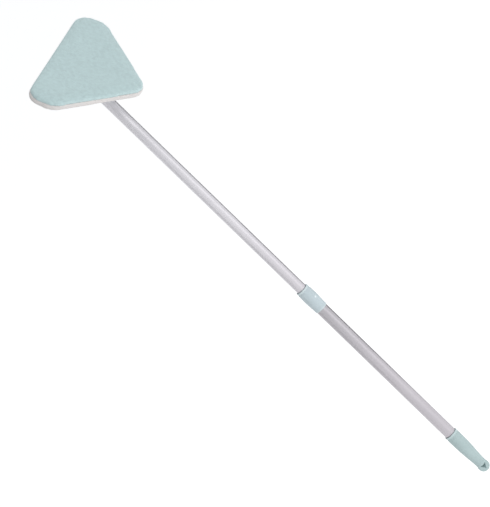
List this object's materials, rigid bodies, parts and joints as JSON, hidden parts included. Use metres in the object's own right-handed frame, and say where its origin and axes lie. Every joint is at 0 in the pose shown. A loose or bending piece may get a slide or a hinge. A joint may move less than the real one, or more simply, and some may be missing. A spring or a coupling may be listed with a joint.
{
  "type": "algae scraper",
  "caption": "Hand-held aquarium algae scraper: a soft rounded triangular pad on a two-way swivel head, a two-stage twist-lock pole and a grip with a hanging eye.",
  "frame": {"origin": "on the pole's axis in the middle of the hand grip", "axes": "+Z along the pole from the grip to the head, +X the way the pad leans and faces, Y along the head's pitch pin"},
  "size_m": [0.0488, 0.1292, 0.5387],
  "materials": {
    "pad_felt": "short soft nap",
    "pad_foam": "fine open foam",
    "pad_loop": "brushed loops",
    "hook_tape": "fine hooks",
    "head_plastic": "moulded satin",
    "collar_plastic": "moulded satin",
    "grip_plastic": "moulded satin",
    "tube_aluminium": "satin anodised",
    "pin_steel": "plain turned",
    "lock_nylon": "moulded"
  },
  "bodies": {
    "handle": {"grip_cap": "grip_plastic", "outer_tube": "tube_aluminium", "collar": "collar_plastic", "collar_pin": "collar_plastic", "guide_bush": "lock_nylon"},
    "cam": {"lock_cam": "lock_nylon"},
    "pole": {"inner_tube": "tube_aluminium", "lock_spindle": "lock_nylon", "spindle_pin": "pin_steel", "cam_washer": "pin_steel", "cam_screw": "pin_steel", "swivel_neck": "head_plastic", "neck_pin": "pin_steel"},
    "knuckle": {"knuckle_link": "head_plastic", "swing_pin": "pin_steel", "swing_pin_clip": "pin_steel"},
    "head": {"base_plate": "head_plastic", "swivel_bracket": "head_plastic", "pitch_pin": "pin_steel", "pitch_pin_clip": "pin_steel", "pitch_washer_1": "pin_steel", "pitch_washer_2": "pin_steel", "bracket_screw_1": "pin_steel", "bracket_screw_2": "pin_steel", "bracket_screw_3": "pin_steel", "bracket_screw_4": "pin_steel", "hook_patch_1": "hook_tape", "hook_patch_2": "hook_tape", "hook_patch_3": "hook_tape"},
    "pad": {"loop_sheet": "pad_loop", "foam_core": "pad_foam", "scrub_face": "pad_felt"}
  },
  "joints": [
    {"name": "pole_slide", "type": "slide", "parent": "handle", "child": "cam", "axis": [0, 0, 1], "range_m": [-0.138, 0.01]},
    {"name": "lock_twist", "type": "hinge", "parent": "cam", "child": "pole", "pos_m": [0.00015, 0, 0.16], "axis": [0, 0, 1], "range_deg": [0, 90]},
    {"name": "neck_swing", "type": "hinge", "parent": "pole", "child": "knuckle", "pos_m": [0, 0, 0.4673], "axis": [1, 0, 0], "range_deg": [-35, 35]},
    {"name": "head_pitch", "type": "hinge", "parent": "knuckle", "child": "head", "pos_m": [0, 0, 0.4758], "axis": [0, 1, 0], "range_deg": [-128, 8]},
    {"name": "pad_release", "type": "slide", "parent": "head", "child": "pad", "axis": [0.866, 0, 0.5], "range_m": [0, 0.025]}
  ]
}
